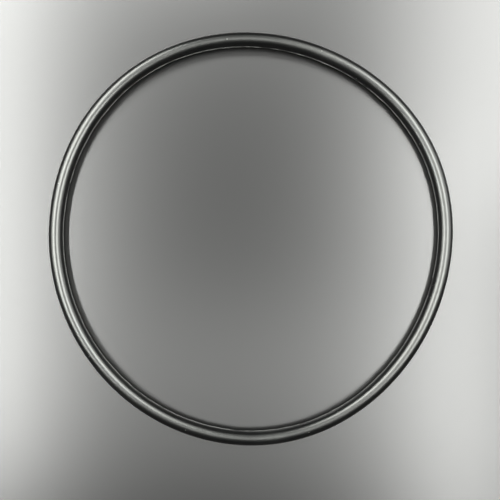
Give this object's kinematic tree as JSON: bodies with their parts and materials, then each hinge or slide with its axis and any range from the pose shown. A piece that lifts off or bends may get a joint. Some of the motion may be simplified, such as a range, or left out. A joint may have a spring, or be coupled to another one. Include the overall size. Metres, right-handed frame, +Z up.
{
  "type": "o-ring",
  "caption": "Black rubber sealing ring of round section, lying flat and relaxed, slightly out of round, with a fine trimmed flash line inside and outside.",
  "frame": {"origin": "middle of the hole, on the surface that the ring lies on", "axes": "+Z up through the hole, square to the ring; +Y along the longer way across the slightly oval ring, to within 4 degrees; +X across it"},
  "size_m": [0.1008, 0.103, 0.0035],
  "materials": {
    "rubber": "satin black, moulded, with a faint bloom"
  },
  "bodies": {
    "root": {"o_ring": "rubber"}
  },
  "joints": []
}
